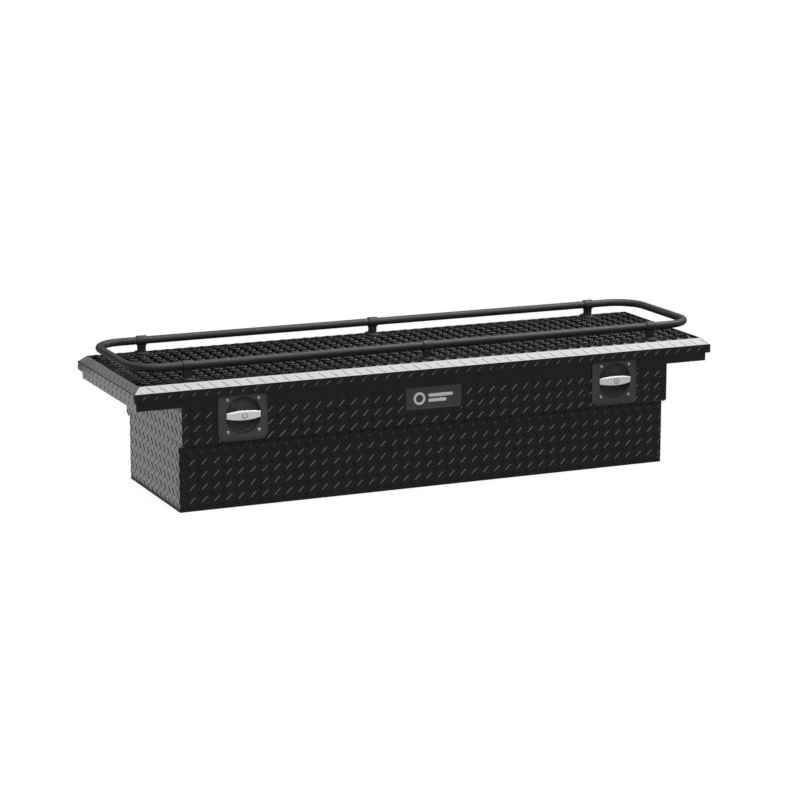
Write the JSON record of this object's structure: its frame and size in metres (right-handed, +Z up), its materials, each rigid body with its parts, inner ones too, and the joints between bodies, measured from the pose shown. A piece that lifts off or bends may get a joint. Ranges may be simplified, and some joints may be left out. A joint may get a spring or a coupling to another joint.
{
  "type": "truck tool box",
  "caption": "Low crossover tool box that spans a pickup bed: stepped tub, saddle ends, hinged lid with a tube cargo rail and turning lock handles.",
  "frame": {"origin": "centre of the tub floor's underside", "axes": "+X along the box to its right end seen from the lock side, +Y to the hinge, +Z up"},
  "size_m": [1.77, 0.5153, 0.4194],
  "materials": {
    "black_tread": "semi-gloss black powder coat on aluminium tread plate",
    "liner_aluminium": "mill-finish sheet",
    "foam": "closed-cell foam",
    "seal_rubber": "matt black rubber",
    "hinge_steel": "black-coated steel",
    "black_rivets": "black-coated aluminium rivets",
    "rail_black": "satin black powder coat on aluminium",
    "zinc_steel": "zinc-plated steel",
    "stainless": "brushed stainless steel",
    "black_screws": "black-coated steel",
    "housing_black": "satin black moulding",
    "plate_grey": "satin dark grey anodised aluminium plate",
    "strut_black": "gloss black tube",
    "rod_chrome": "polished chrome rod"
  },
  "bodies": {
    "box": {"front_wall": "black_tread", "rear_wall": "black_tread", "floor_pan": "black_tread", "end_panel_left": "black_tread", "end_panel_right": "black_tread", "weather_seal": "seal_rubber", "hinge_body_leaf": "hinge_steel", "hinge_pin": "hinge_steel", "hinge_body_rivets": "black_rivets", "lock_housing_left": "housing_black", "lock_housing_right": "housing_black", "lock_gasket_left": "seal_rubber", "lock_gasket_right": "seal_rubber", "hub_washer_left": "stainless", "hub_washer_right": "stainless", "strut_foot_bracket_left": "zinc_steel", "strut_foot_bracket_right": "zinc_steel", "lock_screws": "stainless", "lock_nuts": "zinc_steel", "nameplate": "plate_grey", "nameplate_rivets": "black_rivets"},
    "lid": {"lid_skin": "black_tread", "lid_core": "foam", "lid_liner": "liner_aluminium", "hinge_lid_leaf": "hinge_steel", "hinge_lid_rivets": "black_rivets", "rail_tube_left": "rail_black", "rail_tube_right": "rail_black", "rail_splices": "zinc_steel", "rail_post_front_left": "rail_black", "rail_post_front_middle": "rail_black", "rail_post_front_right": "rail_black", "rail_post_rear_left": "rail_black", "rail_post_rear_middle": "rail_black", "rail_post_rear_right": "rail_black", "rail_post_bolts": "black_screws", "rail_set_screws": "black_screws", "lid_striker_left": "zinc_steel", "lid_striker_right": "zinc_steel", "strut_head_bracket_left": "zinc_steel", "strut_head_bracket_right": "zinc_steel", "lid_bracket_rivets": "zinc_steel"},
    "handle_left": {"turning_handle_left": "stainless", "latch_cam_left": "zinc_steel", "cam_nut_left": "zinc_steel"},
    "key_plug_left": {"lock_plug_left": "stainless"},
    "strut_tube_left": {"strut_cylinder_left": "strut_black", "strut_gland_left": "strut_black"},
    "strut_rod_left": {"strut_rod_left": "rod_chrome"},
    "handle_right": {"turning_handle_right": "stainless", "latch_cam_right": "zinc_steel", "cam_nut_right": "zinc_steel"},
    "key_plug_right": {"lock_plug_right": "stainless"},
    "strut_tube_right": {"strut_cylinder_right": "strut_black", "strut_gland_right": "strut_black"},
    "strut_rod_right": {"strut_rod_right": "rod_chrome"}
  },
  "joints": [
    {"name": "lid_hinge", "type": "hinge", "parent": "box", "child": "lid", "pos_m": [0, 0.24695, 0.322], "axis": [-1, 0, 0], "range_deg": [0, 75]},
    {"name": "handle_left_turn", "type": "hinge", "parent": "box", "child": "handle_left", "pos_m": [-0.5725, -0.22, 0.2655], "axis": [0, -1, 0], "range_deg": [0, 90]},
    {"name": "key_left_turn", "type": "hinge", "parent": "handle_left", "child": "key_plug_left", "pos_m": [-0.5725, -0.25, 0.2655], "axis": [0, -1, 0], "range_deg": [0, 90]},
    {"name": "strut_left_swing", "type": "hinge", "parent": "box", "child": "strut_tube_left", "pos_m": [-0.828, -0.16, 0.313], "axis": [1, 0, 0], "range_deg": [0, 7.96]},
    {"name": "strut_left_extend", "type": "slide", "parent": "strut_tube_left", "child": "strut_rod_left", "axis": [0, 0.998, 0.0626], "range_m": [0, 0.07252]},
    {"name": "handle_right_turn", "type": "hinge", "parent": "box", "child": "handle_right", "pos_m": [0.5725, -0.22, 0.2655], "axis": [0, -1, 0], "range_deg": [0, 90]},
    {"name": "key_right_turn", "type": "hinge", "parent": "handle_right", "child": "key_plug_right", "pos_m": [0.5725, -0.25, 0.2655], "axis": [0, -1, 0], "range_deg": [0, 90]},
    {"name": "strut_right_swing", "type": "hinge", "parent": "box", "child": "strut_tube_right", "pos_m": [0.828, -0.16, 0.313], "axis": [1, 0, 0], "range_deg": [0, 7.96]},
    {"name": "strut_right_extend", "type": "slide", "parent": "strut_tube_right", "child": "strut_rod_right", "axis": [0, 0.998, 0.0626], "range_m": [0, 0.07252]}
  ],
  "couplings": [
    {"joint": "strut_left_swing", "follows": "lid_hinge", "ratio": 0.10595},
    {"joint": "strut_left_extend", "follows": "lid_hinge", "m_per_rad": 0.055388},
    {"joint": "strut_right_swing", "follows": "lid_hinge", "ratio": 0.10595},
    {"joint": "strut_right_extend", "follows": "lid_hinge", "m_per_rad": 0.055388}
  ]
}
